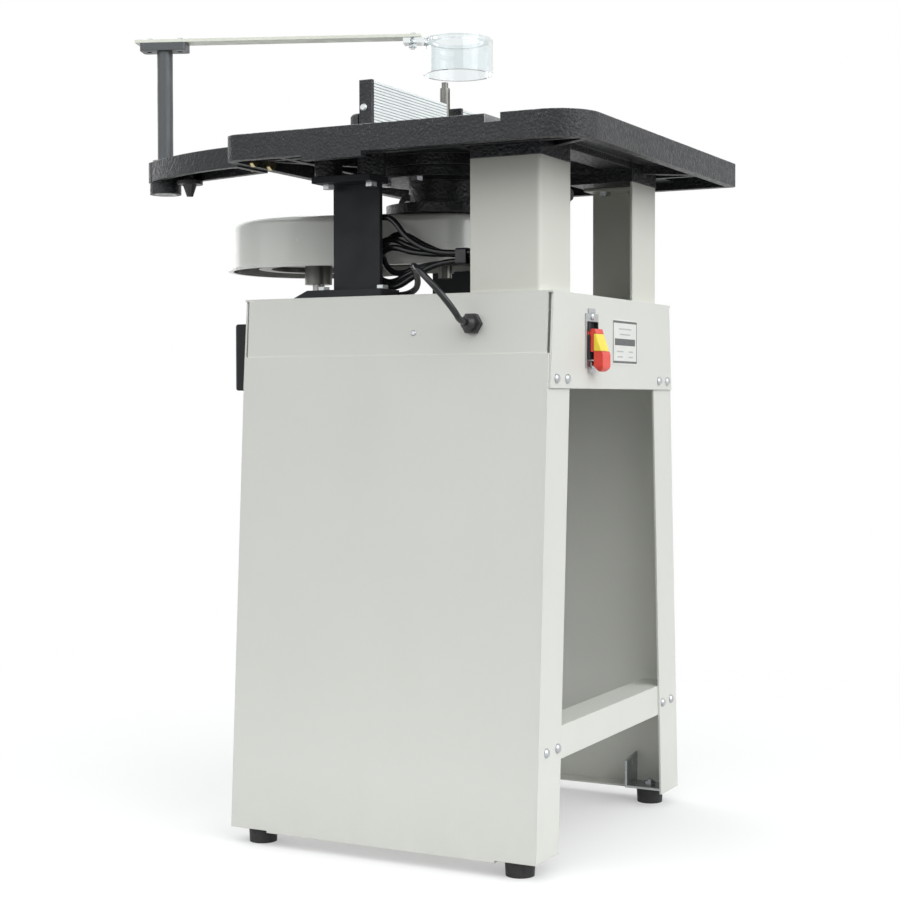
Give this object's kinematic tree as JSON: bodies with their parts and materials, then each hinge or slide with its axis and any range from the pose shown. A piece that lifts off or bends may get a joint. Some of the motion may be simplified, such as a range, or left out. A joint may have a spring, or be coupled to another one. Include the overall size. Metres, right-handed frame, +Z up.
{
  "type": "spindle moulder",
  "caption": "Free-standing spindle moulder with a cast table, split fence, vertical arbor with a clear swing guard, and a belt drive on a folded sheet stand.",
  "frame": {"origin": "on the floor, under the middle of the machine's bounding box without the mains cord", "axes": "+Z up, +X towards the operator's side with the switch, +Y along the fence away from the side panel with the cord"},
  "size_m": [0.671, 0.53, 1.0013],
  "materials": {
    "stand_paint": "satin",
    "post_paint": "satin",
    "cover_paint": "satin",
    "black_paint": "semi-gloss",
    "black_casting": "textured paint",
    "steel": "turned",
    "zinc": "bright plated",
    "brass_plated": "plated",
    "aluminium": "extruded",
    "belt_rubber": "matte",
    "foot_rubber": "matte",
    "cord_rubber": "satin",
    "black_plastic": "moulded",
    "red_plastic": "moulded",
    "yellow_plastic": "moulded",
    "clear_plastic": "clear",
    "pale_plate": "printed, left bare"
  },
  "bodies": {
    "stand": {"side_panel_near": "stand_paint", "side_panel_far": "stand_paint", "stand_top_pan": "stand_paint", "lower_stretcher_front": "stand_paint", "lower_stretcher_rear": "stand_paint", "front_post_near": "post_paint", "front_post_far": "post_paint", "belt_cover": "cover_paint", "rear_post_near": "black_paint", "rear_post_far": "black_paint", "motor_plate": "black_paint", "motor_frame": "black_paint", "motor_end_bell": "black_paint", "capacitor_housing": "black_paint", "table": "black_casting", "spindle_housing": "black_casting", "guard_bracket": "black_casting", "pulley_bearing": "steel", "table_insert": "steel", "foot_brackets": "zinc", "stand_fasteners": "zinc", "post_bolts": "zinc", "housing_bolts": "zinc", "motor_bolts": "zinc", "switch_plate": "zinc", "guard_bracket_bolts": "brass_plated", "drive_belt": "belt_rubber", "rubber_feet": "foot_rubber", "cord_run": "cord_rubber", "cord_hank": "cord_rubber", "plug": "cord_rubber", "switch_body": "black_plastic", "cable_gland": "black_plastic", "hank_tie": "black_plastic", "rating_plate": "pale_plate"},
    "motor_rotor": {"motor_rotor": "steel", "motor_pulley": "steel"},
    "spindle_pulley": {"spindle_pulley": "steel"},
    "quill": {"quill": "steel", "quill_bearings": "steel"},
    "spindle": {"spindle": "steel"},
    "lift_wheel": {"lift_pinion": "steel", "lift_handwheel": "black_plastic"},
    "quill_lock": {"quill_lock": "black_plastic"},
    "fence_infeed": {"fence_bracket_infeed": "black_casting", "fence_face_infeed": "aluminium", "fence_screws_infeed": "zinc"},
    "fence_outfeed": {"fence_bracket_outfeed": "black_casting", "fence_face_outfeed": "aluminium", "fence_screws_outfeed": "zinc"},
    "fence_knob_infeed": {"fence_knob_infeed": "black_plastic"},
    "fence_knob_outfeed": {"fence_knob_outfeed": "black_plastic"},
    "guard_bush": {"guard_bush": "steel"},
    "guard_post": {"guard_post": "zinc", "guard_arm": "zinc", "guard_screws": "zinc"},
    "guard_cup": {"guard_cup": "clear_plastic"},
    "guard_clamp": {"guard_clamp": "black_plastic"},
    "switch_paddle": {"switch_paddle": "red_plastic"},
    "switch_key": {"switch_key": "yellow_plastic"}
  },
  "joints": [
    {"name": "motor_spin", "type": "hinge", "parent": "stand", "child": "motor_rotor", "pos_m": [-0.15346, 0, 0.72], "axis": [0, 0, 1], "continuous": true},
    {"name": "pulley_spin", "type": "hinge", "parent": "stand", "child": "spindle_pulley", "pos_m": [0.03553, 0, 0.72], "axis": [0, 0, 1], "continuous": true},
    {"name": "quill_lift", "type": "slide", "parent": "stand", "child": "quill", "axis": [0, 0, 1], "range_m": [-0.006, 0.02]},
    {"name": "spindle_spin", "type": "hinge", "parent": "quill", "child": "spindle", "pos_m": [0.03553, 0, 0.848], "axis": [0, 0, 1], "continuous": true},
    {"name": "wheel_turn", "type": "hinge", "parent": "stand", "child": "lift_wheel", "pos_m": [-0.00347, 0.224, 0.783], "axis": [0, 1, 0], "range_deg": [-112, 34]},
    {"name": "quill_lock_turn", "type": "hinge", "parent": "stand", "child": "quill_lock", "pos_m": [0.21053, 0, 0.788], "axis": [1, 0, 0], "range_deg": [-90, 90]},
    {"name": "fence_infeed_slide", "type": "slide", "parent": "stand", "child": "fence_infeed", "axis": [1, 0, 0], "range_m": [-0.015, 0.015]},
    {"name": "fence_outfeed_slide", "type": "slide", "parent": "stand", "child": "fence_outfeed", "axis": [1, 0, 0], "range_m": [-0.015, 0.015]},
    {"name": "fence_infeed_knob_turn", "type": "hinge", "parent": "stand", "child": "fence_knob_infeed", "pos_m": [-0.01546, -0.1145, 0.848], "axis": [0, 0, 1], "range_deg": [-180, 180]},
    {"name": "fence_outfeed_knob_turn", "type": "hinge", "parent": "stand", "child": "fence_knob_outfeed", "pos_m": [-0.01546, 0.1145, 0.848], "axis": [0, 0, 1], "range_deg": [-180, 180]},
    {"name": "guard_swing", "type": "hinge", "parent": "stand", "child": "guard_bush", "pos_m": [-0.29746, -0.14, 0.841], "axis": [0, 0, 1], "range_deg": [-60, 30]},
    {"name": "guard_lift", "type": "slide", "parent": "guard_bush", "child": "guard_post", "axis": [0, 0, 1], "range_m": [-0.035, 0.02]},
    {"name": "cup_swivel", "type": "hinge", "parent": "guard_post", "child": "guard_cup", "pos_m": [0.00064, -0.02143, 0.994], "axis": [0, 0, 1], "range_deg": [-20, 20]},
    {"name": "guard_clamp_turn", "type": "hinge", "parent": "stand", "child": "guard_clamp", "pos_m": [-0.25446, -0.147, 0.816], "axis": [0, 0, 1], "range_deg": [-180, 180]},
    {"name": "paddle_lift", "type": "hinge", "parent": "stand", "child": "switch_paddle", "pos_m": [0.27033, -0.0785, 0.614], "axis": [0, -1, 0], "range_deg": [0, 25]},
    {"name": "key_pull", "type": "slide", "parent": "switch_paddle", "child": "switch_key", "axis": [1, 0, 0], "range_m": [0, 0.012]}
  ],
  "couplings": [
    {"joint": "pulley_spin", "follows": "motor_spin", "ratio": 3.0833},
    {"joint": "spindle_spin", "follows": "motor_spin", "ratio": 3.0833},
    {"joint": "wheel_turn", "follows": "quill_lift", "rad_per_m": -95.238}
  ]
}
